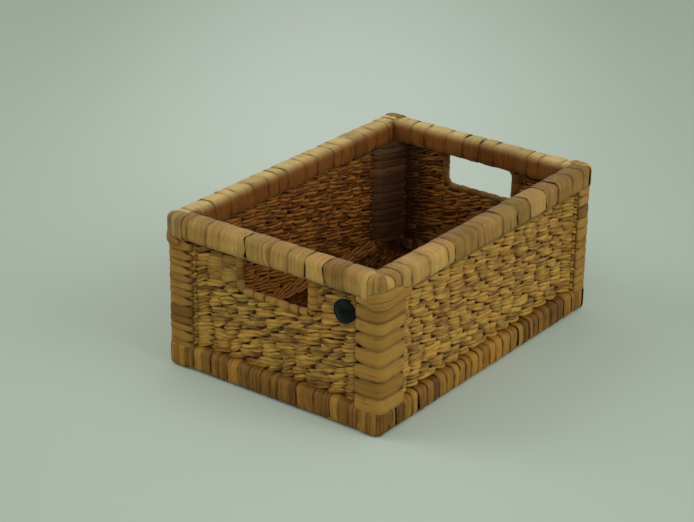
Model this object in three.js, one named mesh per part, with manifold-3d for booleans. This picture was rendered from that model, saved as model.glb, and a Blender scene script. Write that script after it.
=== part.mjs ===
// Open woven storage basket with a hand hole in each end, in millimetres, +Z up.
// X runs along the basket, Y across it. The origin is under the middle, on the surface it stands on.
// A frame of poles, posts and bent canes is wrapped and woven over with flat leaf.

import * as THREE from 'three';
import { mergeVertices } from 'three/addons/utils/BufferGeometryUtils.js';
import Module from 'manifold-3d';

const wasm = await Module();
wasm.setup();

// Overall size, over the wrapped rim
const LENGTH = 417;
const WIDTH = 292;
const HEIGHT = 180;

// Poles and canes of the frame, as diameters
const RIM_POLE = 21;
const BASE_POLE = 20;
const CORNER_POST = 16;
const HOOP_CANE = 6;
const STAKE = 4;

// Leaf thickness over the poles and the hand hole hoops
const RIM_LEAF = 2.7;
const BASE_LEAF = 2.5;
const HOOP_LEAF = 1.6;

// Clearance between pieces that touch
const FIT = 0.3;

// Woven walls and base
const WALL = 9.6;
const WALL_DIP = 1.8;
const SIDE_HAIRPINS = 7;
const END_HAIRPINS = 5;
const EDGE_STAKE = 8;
const STAKE_BEND = 7;
const STAKE_SOCKET = 6;
const MAT = 10;
const MAT_DIP = 2.5;
const MAT_LIFT = 10;
const MAT_RIBS = 16;

// Rim, base border and corner wraps
const RIM_ROUND = 9.5;
const BORDER_ROUND = 10;
const CORNER_INSET = 1.3;
const CORNER_ROUND = 12;
const PLAN_ROUND = 16;
const SIDE_REACH = 46;
const BACK_RIGHT_REACH = 28;
const BACK_LEFT_REACH = 57;
const END_REACH = 36;

// Hand holes: clear width, clear height under the rim, and the hoop's bend on its centre line
const HOLE_WIDTH = 90;
const HOLE_HEIGHT = 37;
const HOOP_BEND = 12;

// Badge on the front end
const BADGE = 27;
const BADGE_EDGE = 2;
const BADGE_DOME = 2.6;
const BADGE_SHANK = 4;
const BADGE_GAP = 2;
const BADGE_DROP = 23;
const WASHER = 14;
const WASHER_THICK = 1.2;

// Facets round the poles, the canes, the corners and the badge; a quarter bend has twice its arc value.
// A rib of the weave has as many facets as its value says, from the middle of one dip to the next.
const POLE_SIDES = 16;
const CANE_SIDES = 6;
const HOOP_SIDES = 10;
const CORNER_FACETS = 6;
const BEND_ARC = 2;
const STAKE_ARC = 1;
const BADGE_FACETS = 24;
const RIB_FACETS = 4;

// Sizes and places worked out from the values above
const rimHalf = RIM_POLE / 2 + FIT + RIM_LEAF;
const rimZ = HEIGHT - rimHalf;
const rimUnderside = HEIGHT - 2 * rimHalf;
const sideY = WIDTH / 2 - rimHalf;
const endX = LENGTH / 2 - rimHalf;
const basePoleZ = BASE_LEAF + FIT + BASE_POLE / 2;
const borderWidth = BASE_POLE + 2 * (FIT + BASE_LEAF);
const borderInset = rimHalf - borderWidth / 2;
const bendZ = basePoleZ + BASE_POLE / 2 + FIT + STAKE / 2;
const borderHeight = bendZ + STAKE / 2 + FIT + BASE_LEAF;
const matTop = MAT_LIFT + MAT;
const panelBottom = borderHeight + FIT;
const panelTop = rimUnderside - FIT;
const stakeTop = rimZ - RIM_POLE / 2 + STAKE_SOCKET;
const sidePanelEnd = (reach) => LENGTH / 2 - reach - FIT;
const endPanelHalf = WIDTH / 2 - END_REACH - FIT;
const hoopRadius = HOOP_CANE / 2 + FIT + HOOP_LEAF;
const hoopHalf = HOLE_WIDTH / 2 + hoopRadius;
const sillZ = rimUnderside - HOLE_HEIGHT - hoopRadius;
const sillUnderside = sillZ - hoopRadius;
const shortStakeTop = sillUnderside - 2 * FIT;
const cutterOver = 10;

const leafMaterial = (color) => new THREE.MeshStandardMaterial({ color, roughness: 0.62, metalness: 0 });
const rimLeaf = leafMaterial(0xc6a06a);
const borderLeaf = leafMaterial(0xa9793f);
const cornerLeaf = leafMaterial(0xb88c50);
const wovenLeaf = leafMaterial(0xae8450);
const cane = new THREE.MeshStandardMaterial({ color: 0xc8a878, roughness: 0.55, metalness: 0 });
const badgeGloss = new THREE.MeshStandardMaterial({ color: 0x10161f, roughness: 0.16, metalness: 0 });
const washerSteel = new THREE.MeshStandardMaterial({ color: 0x9a9a98, roughness: 0.4, metalness: 1 });

// Turns a closed geometry into a solid that can be cut
function toSolid(geometry) {
  const bare = geometry.clone();
  bare.deleteAttribute('normal');
  bare.deleteAttribute('uv');
  const merged = mergeVertices(bare, 1e-4);
  const vertProperties = new Float32Array(merged.attributes.position.array);
  const triVerts = new Uint32Array(merged.index.array);
  return new wasm.Manifold(new wasm.Mesh({ numProp: 3, vertProperties, triVerts }));
}

function toGeometry(solid) {
  const mesh = solid.getMesh();
  const geometry = new THREE.BufferGeometry();
  geometry.setAttribute('position', new THREE.BufferAttribute(mesh.vertProperties, 3));
  geometry.setIndex(new THREE.BufferAttribute(mesh.triVerts, 1));
  geometry.computeVertexNormals();
  return geometry;
}

function cut(geometry, cutters) {
  let solid = toSolid(geometry);
  for (const cutter of cutters) {
    solid = solid.subtract(toSolid(cutter));
  }
  return toGeometry(solid);
}

function named(name, geometry, material) {
  const mesh = new THREE.Mesh(geometry, material);
  mesh.name = name;
  return mesh;
}

// Sections, drawn with x across the wall and y up
function circlePoints(radius, centreY) {
  const points = [];
  for (let k = 0; k < POLE_SIDES; k += 1) {
    const angle = (2 * Math.PI * k) / POLE_SIDES;
    points.push(new THREE.Vector2(radius * Math.cos(angle), centreY + radius * Math.sin(angle)));
  }
  return points;
}

function disc(radius) {
  return new THREE.Shape(circlePoints(radius, 0));
}

function roundedOutline(halfX, low, high, round) {
  const line = new THREE.Path();
  line.absarc(halfX - round, low + round, round, -Math.PI / 2, 0);
  line.absarc(halfX - round, high - round, round, 0, Math.PI / 2);
  line.absarc(round - halfX, high - round, round, Math.PI / 2, Math.PI);
  line.absarc(round - halfX, low + round, round, Math.PI, 1.5 * Math.PI);
  return new THREE.Shape(line.getPoints(BEND_ARC));
}

function rimSection(grow) {
  const half = rimHalf + grow;
  return roundedOutline(half, rimZ - half, rimZ + half, Math.min(RIM_ROUND, rimHalf - FIT) + grow);
}

function borderSection(grow) {
  const round = Math.min(BORDER_ROUND, borderWidth / 2 - FIT);
  return roundedOutline(borderWidth / 2 + grow, -grow, borderHeight + grow, round + grow);
}

// A straight bar along X, centred, with the section's x along Y and its y along Z
function barAlongX(section, length) {
  const geometry = new THREE.ExtrudeGeometry(section, { depth: length, bevelEnabled: false });
  geometry.translate(0, 0, -length / 2);
  return geometry.rotateX(Math.PI / 2).rotateZ(Math.PI / 2);
}

function barAlongY(section, length) {
  return barAlongX(section, length).rotateZ(Math.PI / 2);
}

function uprightBar(section, low, high) {
  const options = { depth: high - low, bevelEnabled: false, curveSegments: CORNER_FACETS };
  return new THREE.ExtrudeGeometry(section, options).translate(0, 0, low);
}

// The centre line of a U in the wall plane: two uprights and the bend that joins them
function uLine(first, firstTop, second, secondTop, low, bend, arc) {
  const line = new THREE.Path();
  line.moveTo(first, firstTop);
  line.lineTo(first, low + bend);
  line.absarc(first + bend, low + bend, bend, Math.PI, 1.5 * Math.PI);
  line.absarc(second - bend, low + bend, bend, 1.5 * Math.PI, 2 * Math.PI);
  line.lineTo(second, secondTop);
  return line.getPoints(arc);
}

// A round cane along points of the wall plane, with flat ends
function bentCane(points, radius, sides) {
  const last = points.length - 1;
  const positions = [];
  points.forEach((point, i) => {
    const before = points[Math.max(i - 1, 0)];
    const after = points[Math.min(i + 1, last)];
    const along = after.clone().sub(before).normalize();
    for (let k = 0; k < sides; k += 1) {
      const angle = (2 * Math.PI * k) / sides;
      const across = radius * Math.cos(angle);
      positions.push(point.x - across * along.y, radius * Math.sin(angle), point.y + across * along.x);
    }
  });
  const index = [];
  for (let i = 0; i < last; i += 1) {
    for (let k = 0; k < sides; k += 1) {
      const a = i * sides + k;
      const b = i * sides + ((k + 1) % sides);
      index.push(a, a + sides, b, b, a + sides, b + sides);
    }
  }
  for (let k = 1; k < sides - 1; k += 1) {
    index.push(0, k, k + 1);
    index.push(last * sides, last * sides + k + 1, last * sides + k);
  }
  const geometry = new THREE.BufferGeometry();
  geometry.setAttribute('position', new THREE.Float32BufferAttribute(positions, 3));
  geometry.setIndex(index);
  geometry.computeVertexNormals();
  return geometry;
}

// Even uprights from one edge stake to the other, two to a hairpin
function stakePitch(hairpins, start, end) {
  return (end - start - 2 * EDGE_STAKE) / (2 * hairpins - 1);
}

// Hairpins of one wall, each a pair of uprights joined by a bend
function hairpinLines(count, panelStart, panelEnd, topAt) {
  const pitch = stakePitch(count, panelStart, panelEnd);
  const lines = [];
  for (let i = 0; i < count; i += 1) {
    const first = panelStart + EDGE_STAKE + 2 * i * pitch;
    const second = first + pitch;
    const tops = [topAt(first), topAt(second)];
    lines.push((over) => {
      return uLine(first, tops[0] + over, second, tops[1] + over, bendZ, STAKE_BEND, STAKE_ARC);
    });
  }
  return lines;
}

const stakes = (lines) => lines.map((line) => bentCane(line(0), STAKE / 2, CANE_SIDES));
const stakeCutters = (lines) => lines.map((line) => bentCane(line(FIT), STAKE / 2 + FIT, CANE_SIDES));

// What lies outside the basket's rounded corners in plan, seen from a long side's own frame
function cornerTrims(inset) {
  const round = PLAN_ROUND - inset;
  const halfX = LENGTH / 2 - inset;
  const edgeY = inset - rimHalf;
  return [-1, 1].map((way) => {
    const outside = new THREE.Path();
    outside.moveTo(way * (halfX + cutterOver), edgeY - cutterOver);
    outside.lineTo(way * (halfX + cutterOver), edgeY + round);
    outside.lineTo(way * halfX, edgeY + round);
    outside.quadraticCurveTo(way * halfX, edgeY, way * (halfX - round), edgeY);
    outside.lineTo(way * (halfX - round), edgeY - cutterOver);
    return uprightBar(new THREE.Shape(outside.getPoints(CORNER_FACETS)), -cutterOver, HEIGHT + cutterOver);
  });
}

// A rod in its leaf wrap; the run gives a section its length, at a depth below the leaf's face
function addWrapped(wall, name, rod, run, cutters) {
  const { radius, leaf, height, outer } = rod;
  const pole = run.solid(new THREE.Shape(circlePoints(radius, height)), leaf + FIT);
  wall.add(named(`${name}_pole`, cut(pole, cutters), cane));
  const bore = run.bore(new THREE.Shape(circlePoints(radius + FIT, height)), leaf);
  const wrap = cut(run.solid(outer, 0), [bore, ...cutters]);
  wall.add(named(`${name}_wrap`, wrap, rod.material));
}

function addRods(wall, name, rimRun, baseRun, cutters) {
  const rim = {
    radius: RIM_POLE / 2,
    leaf: RIM_LEAF,
    height: rimZ,
    outer: rimSection(0),
    material: rimLeaf,
  };
  const base = {
    radius: BASE_POLE / 2,
    leaf: BASE_LEAF,
    height: basePoleZ,
    outer: borderSection(0),
    material: borderLeaf,
  };
  addWrapped(wall, `${name}_rim`, rim, rimRun, cutters);
  addWrapped(wall, `${name}_base`, base, baseRun, cutters);
}

function addStakes(wall, name, lines) {
  stakes(lines).forEach((geometry, i) => wall.add(named(`${name}_stake_${i + 1}`, geometry, cane)));
}

// A woven plate cut across its ribs: both faces swell over each cane inside and dip between two canes
function ribbedSection(start, end, firstRib, pitch, thick, dip) {
  const halfAt = (place) => {
    const turn = (2 * Math.PI * (place - firstRib)) / pitch;
    return thick / 2 - (dip / 2) * (1 - Math.cos(turn));
  };
  const step = pitch / RIB_FACETS;
  const firstStep = Math.floor((start + FIT - firstRib) / step) + 1;
  const places = [start];
  for (let k = firstStep; firstRib + k * step < end - FIT; k += 1) {
    places.push(firstRib + k * step);
  }
  places.push(end);
  const near = places.map((place) => new THREE.Vector2(place, -halfAt(place)));
  const far = places.map((place) => new THREE.Vector2(place, halfAt(place)));
  return new THREE.Shape([...near, ...far.reverse()]);
}

function ribbedPanel(hairpins, start, end) {
  const pitch = stakePitch(hairpins, start, end);
  const section = ribbedSection(start, end, start + EDGE_STAKE, pitch, WALL, WALL_DIP);
  return uprightBar(section, panelBottom, panelTop);
}

// A long side, seen along its own X, with its outer face towards -Y
function longWall(name, panelStart, panelEnd) {
  const wall = new THREE.Group();
  const lines = hairpinLines(SIDE_HAIRPINS, panelStart, panelEnd, () => stakeTop);
  const cutters = stakeCutters(lines);
  const rounded = (section, inset) => cut(barAlongX(section, LENGTH - 2 * inset), cornerTrims(inset));
  const inBorder = (section, depth) => rounded(section, borderInset + depth);
  addRods(wall, name, { solid: rounded, bore: rounded }, { solid: inBorder, bore: inBorder }, cutters);
  addStakes(wall, name, lines);
  const panel = cut(ribbedPanel(SIDE_HAIRPINS, panelStart, panelEnd), cutters);
  wall.add(named(`${name}_panel`, panel, wovenLeaf));
  return wall;
}

// The panel's cut-out round the wrapped hoop, through the whole wall
function holeCutter() {
  const grown = hoopRadius + FIT;
  const above = panelTop + cutterOver;
  const half = hoopHalf + grown;
  const points = uLine(-half, above, half, above, sillZ - grown, HOOP_BEND + grown, BEND_ARC);
  const depth = WALL + 2 * cutterOver;
  const geometry = new THREE.ExtrudeGeometry(new THREE.Shape(points), { depth, bevelEnabled: false });
  return geometry.translate(0, 0, -depth / 2).rotateX(Math.PI / 2);
}

// An end wall, seen along its own X, with its outer face towards -Y
function endWall(name, panelHoles) {
  const wall = new THREE.Group();
  const topAt = (place) => (Math.abs(place) < hoopHalf + hoopRadius + STAKE ? shortStakeTop : stakeTop);
  const lines = hairpinLines(END_HAIRPINS, -endPanelHalf, endPanelHalf, topAt);
  const cutters = stakeCutters(lines);
  const hoopLine = (top) => uLine(-hoopHalf, top, hoopHalf, top, sillZ, HOOP_BEND, BEND_ARC);
  const hoopCutter = bentCane(hoopLine(stakeTop + FIT), HOOP_CANE / 2 + FIT, HOOP_SIDES);
  const crossing = 2 * rimHalf + cutterOver;
  const rimCutter = barAlongY(rimSection(FIT), crossing);
  const borderCutter = barAlongY(borderSection(FIT), crossing);
  const butting = (cutter) => {
    const ends = [-sideY, sideY].map((place) => cutter.clone().translate(place, 0, 0));
    return {
      solid: (section) => cut(barAlongX(section, 2 * sideY), ends),
      bore: (section) => barAlongX(section, 2 * sideY + cutterOver),
    };
  };
  addRods(wall, name, butting(rimCutter), butting(borderCutter), [...cutters, hoopCutter]);
  addStakes(wall, name, lines);
  wall.add(named(`${name}_hoop`, bentCane(hoopLine(stakeTop), HOOP_CANE / 2, HOOP_SIDES), cane));
  const rimAlong = barAlongX(rimSection(FIT), 2 * endPanelHalf);
  const hoopWrap = bentCane(hoopLine(rimZ), hoopRadius, HOOP_SIDES);
  wall.add(named(`${name}_hand_hole_wrap`, cut(hoopWrap, [hoopCutter, rimAlong]), cornerLeaf));
  const plate = ribbedPanel(END_HAIRPINS, -endPanelHalf, endPanelHalf);
  const panel = cut(plate, [holeCutter(), ...cutters, ...panelHoles]);
  wall.add(named(`${name}_panel`, panel, wovenLeaf));
  return wall;
}

// Lathe profiles of the badge, outwards along +Y from the wall's middle, then turned to face -Y
function facing(profile, place, height) {
  const points = profile.map(([radius, out]) => new THREE.Vector2(radius, out));
  return new THREE.LatheGeometry(points, BADGE_FACETS).rotateX(Math.PI).translate(place, 0, height);
}

function badgeAt(place, height) {
  const shank = BADGE_SHANK / 2;
  const back = WALL / 2 + FIT;
  const shankEnd = -WALL / 2 - FIT - WASHER_THICK;
  const edge = back + BADGE_EDGE;
  const crown = edge + BADGE_DOME;
  const shoulder = 0.7;
  const button = [
    [0, shankEnd], [shank, shankEnd], [shank, back], [BADGE / 2, back], [BADGE / 2, edge],
    [shoulder * (BADGE / 2), edge + (1 - shoulder * shoulder) * BADGE_DOME], [0, crown],
  ];
  const hole = shank + FIT;
  const washerFar = -WALL / 2 - FIT;
  const washerNear = washerFar - WASHER_THICK;
  const washer = [
    [hole, washerNear], [WASHER / 2, washerNear], [WASHER / 2, washerFar], [hole, washerFar],
    [hole, washerNear],
  ];
  const panelHole = [[0, -WALL], [hole, -WALL], [hole, WALL], [0, WALL]];
  return {
    button: facing(button, place, height),
    washer: facing(washer, place, height),
    panelHole: facing(panelHole, place, height),
  };
}

// One corner, in the basket's own frame; alongX and alongY say which way its outside faces
function addCorner(basket, name, alongX, alongY, sideReach) {
  const cornerX = alongX * endX;
  const cornerY = alongY * sideY;
  const reachFromX = (place) => alongX * (LENGTH / 2 - place);
  const reachFromY = (place) => alongY * (WIDTH / 2 - place);
  const crossing = 2 * (sideReach + END_REACH);
  const rods = [
    barAlongX(rimSection(FIT), crossing).translate(cornerX, cornerY, 0),
    barAlongY(rimSection(FIT), crossing).translate(cornerX, cornerY, 0),
    barAlongX(borderSection(FIT), crossing).translate(cornerX, cornerY, 0),
    barAlongY(borderSection(FIT), crossing).translate(cornerX, cornerY, 0),
  ];
  const post = uprightBar(disc(CORNER_POST / 2), matTop + FIT, rimZ).translate(cornerX, cornerY, 0);
  basket.add(named(`${name}_corner_post`, cut(post, rods), cane));

  const inner = rimHalf + WALL / 2;
  const round = CORNER_INSET + CORNER_ROUND;
  const section = new THREE.Shape();
  section.moveTo(reachFromX(round), reachFromY(CORNER_INSET));
  section.lineTo(reachFromX(sideReach), reachFromY(CORNER_INSET));
  section.lineTo(reachFromX(sideReach), reachFromY(inner));
  section.quadraticCurveTo(
    reachFromX(sideReach), reachFromY(END_REACH), reachFromX(inner), reachFromY(END_REACH),
  );
  section.lineTo(reachFromX(CORNER_INSET), reachFromY(END_REACH));
  section.lineTo(reachFromX(CORNER_INSET), reachFromY(round));
  section.quadraticCurveTo(
    reachFromX(CORNER_INSET), reachFromY(CORNER_INSET), reachFromX(round), reachFromY(CORNER_INSET),
  );
  const bore = uprightBar(disc(CORNER_POST / 2 + FIT), 0, HEIGHT).translate(cornerX, cornerY, 0);
  const innerBlock = new THREE.BoxGeometry(2 * sideReach, 2 * END_REACH, 2 * (rimZ - panelTop));
  innerBlock.translate(cornerX - alongX * sideReach, cornerY - alongY * END_REACH, rimZ);
  const wrap = uprightBar(section, matTop + FIT, rimZ);
  basket.add(named(`${name}_corner_wrap`, cut(wrap, [...rods, bore, innerBlock]), cornerLeaf));
}

// The base, woven over canes that run across the basket
function baseMat() {
  const toBorder = borderInset + borderWidth + FIT;
  const half = LENGTH / 2 - toBorder;
  const pitch = (2 * half) / MAT_RIBS;
  const section = ribbedSection(-half, half, pitch / 2 - half, pitch, MAT, MAT_DIP);
  return barAlongY(section, WIDTH - 2 * toBorder).translate(0, 0, MAT_LIFT + MAT / 2);
}

function makeBasket() {
  const basket = new THREE.Group();
  const right = longWall('right', -sidePanelEnd(SIDE_REACH), sidePanelEnd(BACK_RIGHT_REACH));
  right.position.y = -sideY;
  const left = longWall('left', -sidePanelEnd(BACK_LEFT_REACH), sidePanelEnd(SIDE_REACH));
  left.position.y = sideY;
  left.rotation.z = Math.PI;

  const shankFromEdge = Math.max(BADGE / 2 + FIT, EDGE_STAKE + STAKE / 2 + BADGE_GAP + BADGE_SHANK / 2);
  const badge = badgeAt(endPanelHalf - shankFromEdge, panelTop - BADGE_DROP);
  const front = endWall('front', [badge.panelHole]);
  front.add(named('badge_button', badge.button, badgeGloss));
  front.add(named('badge_washer', badge.washer, washerSteel));
  front.position.x = -endX;
  front.rotation.z = -Math.PI / 2;
  const back = endWall('back', []);
  back.position.x = endX;
  back.rotation.z = Math.PI / 2;
  basket.add(right, left, front, back);

  addCorner(basket, 'front_right', -1, -1, SIDE_REACH);
  addCorner(basket, 'front_left', -1, 1, SIDE_REACH);
  addCorner(basket, 'back_right', 1, -1, BACK_RIGHT_REACH);
  addCorner(basket, 'back_left', 1, 1, BACK_LEFT_REACH);
  basket.add(named('base_mat', baseMat(), wovenLeaf));
  return basket;
}

export default makeBasket();
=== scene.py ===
"""Looks of an open woven storage basket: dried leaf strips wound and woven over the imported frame."""

import math

import bpy
import numpy as np
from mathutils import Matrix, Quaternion, Vector


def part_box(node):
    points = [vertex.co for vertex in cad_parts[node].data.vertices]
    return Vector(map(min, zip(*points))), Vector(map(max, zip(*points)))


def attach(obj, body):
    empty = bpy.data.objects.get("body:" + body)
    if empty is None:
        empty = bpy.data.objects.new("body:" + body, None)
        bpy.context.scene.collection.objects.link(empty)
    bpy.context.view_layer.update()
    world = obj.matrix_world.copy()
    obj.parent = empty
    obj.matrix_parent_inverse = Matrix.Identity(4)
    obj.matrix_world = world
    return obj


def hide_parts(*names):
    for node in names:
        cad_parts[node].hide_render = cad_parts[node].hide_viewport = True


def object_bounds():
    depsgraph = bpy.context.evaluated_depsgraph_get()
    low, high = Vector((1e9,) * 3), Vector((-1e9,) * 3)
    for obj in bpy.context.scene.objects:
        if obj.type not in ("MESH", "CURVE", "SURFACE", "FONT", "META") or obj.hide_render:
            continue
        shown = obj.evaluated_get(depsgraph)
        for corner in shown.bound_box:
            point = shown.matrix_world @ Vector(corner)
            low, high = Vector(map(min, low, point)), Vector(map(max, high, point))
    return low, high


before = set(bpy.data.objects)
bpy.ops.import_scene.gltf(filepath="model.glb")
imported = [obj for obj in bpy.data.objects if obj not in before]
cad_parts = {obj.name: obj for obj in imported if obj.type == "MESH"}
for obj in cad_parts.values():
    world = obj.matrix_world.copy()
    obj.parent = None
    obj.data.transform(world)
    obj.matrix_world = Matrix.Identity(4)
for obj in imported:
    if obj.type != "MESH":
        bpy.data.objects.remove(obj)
cad_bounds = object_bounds()

MM = 0.001
UP = np.array((0.0, 0.0, 1.0))
random = np.random.default_rng(11)

# Camera and stage
CAMERA_AZIMUTH = math.radians(-53.375)
CAMERA_ELEVATION = math.radians(23.87)
CAMERA_ROLL = math.radians(0.685)
CAMERA_DISTANCE = 2.29743
CAMERA_TARGET = Vector((-0.03141, 0.02997, 0.09363))
CAMERA_LENS = 105.72
SENSOR_WIDTH = 36
FLOOR_SIZE = 9.0
# Floor colours in the middle of its painted pool of light and far from it, and where the pool lies and its
# size
FLOOR_PALE = (0.585, 0.672, 0.577)
FLOOR_DEEP = (0.40, 0.485, 0.387)
LIGHT_POOL_PLACE = (0.6, 0.5, 0)
LIGHT_POOL_SIZE = (0.6, 2.0, 1)
WORLD_SIDES = (0.97, 0.97, 0.97)
WORLD_TOP = (0.45, 0.45, 0.45)

# Lamps: place, the point that each one faces, size and power
LAMPS = {
    "key": ((0.2, -2.3, 1.6), (0, 0, 0.1), 1.8, 24),
    "front": ((-2.0, -1.2, 1.4), (0, 0, 0.05), 1.6, 3.7),
    "fill": ((-0.95, 1.4, 1.65), (-0.45, 0.35, 0), 1.2, 10.3),
}

# Each wall: its way along from the left, as seen from outside, and its way out; whether its rods run through
# at the corners, and how much of the painted shade at their joints shows on top; the gap under the rim; how
# far its ends swell; its tone, set wall by wall partly as painted light; the painted light on its low right
# part, which is painted shade where it is below nothing; the painted shadow under its rim; and the painted
# shade inside at its right end
WALLS = {
    "right": {
        "along": (1, 0, 0), "out": (0, -1, 0), "through": True, "joint": 0.5, "gap": 2.5 * MM,
        "swell": (0, 5.5 * MM), "tone": 0.57, "painted_light": 0.0, "shade": 0.8, "painted_gloom": 0.0,
    },
    "left": {
        "along": (-1, 0, 0), "out": (0, 1, 0), "through": True, "joint": 0.5, "gap": 0.3 * MM,
        "swell": (0, 0), "tone": 0.5, "painted_light": 0.9, "shade": 0.3, "painted_gloom": 0.0,
    },
    "front": {
        "along": (0, -1, 0), "out": (-1, 0, 0), "through": False, "joint": 0.15, "gap": 2.5 * MM,
        "swell": (3.5 * MM, 0), "tone": 0.5, "painted_light": -0.14, "shade": 0.8, "painted_gloom": 0.0,
    },
    "back": {
        "along": (0, 1, 0), "out": (1, 0, 0), "through": False, "joint": 0.5, "gap": 0.3 * MM,
        "swell": (0, 0), "tone": 0.62, "painted_light": 0.0, "shade": 0.3, "painted_gloom": 1.4,
    },
}

# Strands of the walls and the base
SIDE_WEAVE = {"pitch": 8.7 * MM, "slant": -1.3 * MM, "flatness": 2.0, "shift": 0.5}
END_WEAVE = {"pitch": 7.7 * MM, "slant": 2.4 * MM, "flatness": 1.8, "shift": 0.8}
MAT_WEAVE = {"pitch": 9 * MM, "slant": 1.6 * MM, "flatness": 1.8, "shift": 0.7}
MAT_RIBS = 16
# The base's low tone, and the inside tint on its upper face and its ribs, are in part painted shade
MAT_TONE = 0.34
RIB_TONE = 0.3
STRAND_WIDTH = 4.9 * MM
STRAND_THICK = 1.9 * MM
STRAND_ROLL = 2.2
STRAND_TUCK = 14 * MM
STRAND_CLEAR = 0.15 * MM
STAKE_RADIUS = 2.0 * MM
CORNER_EDGE = 4 * MM
TURN_SPREAD = 0.3
FLOAT_SPREAD = 0.9
FLOAT_TILT = 0.2
CROSSING_PINCH = 0.72
CROSSING_APART = 0.55
END_DEPTH = 0.6
SETTLE_LENGTH = 12 * MM
SWELL_LENGTH = 20 * MM
ROW_SPREAD = 0.13
ROW_SHIFT = 0.6
ROW_SIZES = (0.94, 1.1)
EDGE_ORDER = 40 * MM
# Painted shade: dark leaves in the middle of the walls, seen only in the gaps between strands
SHADE_SHEET_WIDTH = 5.5 * MM
SHADE_SHEET_THICK = 0.6 * MM
SHADE_SHEET_TONE = 0.2
LINING_BEND = 9 * MM
LINING_SINK = 1.5 * MM
LINING_TURNS = (22, 68)

# Tones of the strands, painted light on the walls, and the shade painted on the strands
STRAND_TONES = 0.18
LEAST_TONE = 0.05
INSIDE_TURN = 0.6
INSIDE_CONTRAST = 1.1
INNER_EDGE_SHADE = 1.1
CROSSING_SHADE = 1.3
# Painted light on a wall's low right part: where it starts along the wall, how far it ramps up, the height
# where it ends and how far below that it fades; a negative amount paints shade
PAINTED_LIGHT_START = -40 * MM
PAINTED_LIGHT_RAMP = 50 * MM
PAINTED_LIGHT_TOP = 85 * MM
PAINTED_LIGHT_FADE = 45 * MM
GLOOM_LENGTH = 45 * MM
TUCK_SHADE = 6 * MM
TUCK_RANGE = (0.2, 1.2)
RIM_SHADE = 5 * MM

# How leaf strays: by how much, and the length of the main wave, which for strips and lobes is a share of one
STRAYS = {
    "strand depth": (0.1, 40 * MM),
    "strand rise": (0.25 * MM, 45 * MM),
    "strand width": (0.1, 38 * MM),
    "strand lean": (0.16, 33 * MM),
    "strand tone": (0.16, 36 * MM),
    "row shift": (0.3, 110 * MM),
    "row rise": (0.4 * MM, 80 * MM),
    "cuff rise": (0.4 * MM, 40 * MM),
    "strip edge": (0.05, 0.5),
    "strip place": (0.02, 0.35),
    "strip fibre": (0.35 * MM, 0.4),
    "strip lift": (0.15 * MM, 0.3),
    "lobe rise": (0.4 * MM, 0.7),
    "lobe bulge": (0.35 * MM, 0.3),
}
WAVE_RANGE = (0.7, 1.3)

# Hand holes; the lobes are broad leaves looped round the left jamb, given by their place, height, length,
# width and rise, and the rounds are the sizes of leaves in the top corner, all in millimetres
LOBES = {
    "front": [(-82, 136, 34, 17, 8), (-63, 127, 32, 16, 7), (-62, 144, 31, 13, 5)],
    "back": [(-78, 137, 32, 16, 6), (-62, 130, 30, 15, 6)],
}
LOBE_DEPTH = 5.5 * MM
LOBE_SINK = 0.6
LOBE_FULLNESS = 0.6
LOBE_TILT = 0.15
LOBE_CURL = 1.1
LOBE_TAPER = 0.5
LOBE_THICK = 1.8 * MM
LOBE_CROWN = 0.7 * MM
# Painted shade at the edges of a lobe, and where its ends go into the wall
LOBE_SHADE = 3
LOBE_END_SHADE = 0.7
LOBE_TONES = (0.42, 0.12)
HOLE_ROUNDS = {"front": (), "back": (12, 8, 4)}
ROUND_SINK = 1 * MM
ROUND_THICK = 4 * MM
ROUND_WIDTH = 1.7
ROUND_LENGTH = 1.6
# Share of the inside tint, partly painted shade, on the leaves in a hole's top corner
ROUND_INSIDE = 0.6
ROUND_TONES = (0.35, 0.1)
JAMB_CLEAR = 1 * MM
SILL_SINK = 1.5 * MM
HOOP_BEND = 12 * MM
HOOP_SLIM = 0.9 * MM
HOOP_SLANT = 3 * MM
HOOP_SEAM = 0.75
HOOP_STEP = 1.5 * MM
# Dark leaves of painted shade at the foot of each jamb: their reach to each side of it, and how high they lie
HOOP_SHADE_SHEET = 8 * MM
HOOP_SHADE_SHEET_RISE = 4 * MM
JAMB_SWELL = 0.8
JAMB_SWELL_LENGTH = 8 * MM

# Wound strips. A strip is its width and the spread of that. A wind is the lapping, crown, tilt and crease of
# strips, in millimetres. A seam is where a strip starts, as a share of the way round its rod.
STRIP_THICK = 1.0 * MM
STRIP_LAP = 0.06
LAP_SINK = 0.35
LAP_RAMP = 0.1
LOOP_STEP = 0.004
SLANT_SPREAD = 0.4
PINCH_RANGE = (0.3, 1.7)
CROWN_RANGE = (0.6, 1.3)
TILT_RANGE = (0.7, 1.25)
LAPPING_RANGE = (-0.3, 1.6)
GROOVE_LENGTH = 9 * MM
GROOVE_WAVES = 2
CALM_INSIDE = 0.7
# Painted shade at the joints between strips: its strength, and how it grows from a rod's top to its underside
JOINT_SHADE = 8
JOINT_MIDDLE = 0.62
JOINT_CHANGE = 0.6
ROUND_STEPS = 7
ROUND_SIDES = 48
BEND_STEPS = 9
JAMB_LOBE = (15 * MM, 0.2)
JAMB_LOBE_WINDS = {"front": (1.5, 1.0, 0.5, 0.12), "back": (1.5, 0.3, 0.15, 0.12)}
JAMB_LOBE_TONES = (0.5, 0.2)
SILL_BEAD = (15 * MM, 0.2)
SILL_BEAD_WIND = (1.5, 0.6, 0.6, 0.1)
SILL_BEAD_TONES = (0.75, 0.18)
JAMB_STRIP = (9 * MM, 0.3)
JAMB_STRIP_WIND = (1.2, 0.5, 0.5, 0.1)
JAMB_STRIP_TONES = (0.7, 0.15)

# Which edge of a strip laps over the next one, along each wall
LAPS = {"right": -1, "left": 1, "front": 0.65, "back": -1}

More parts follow.
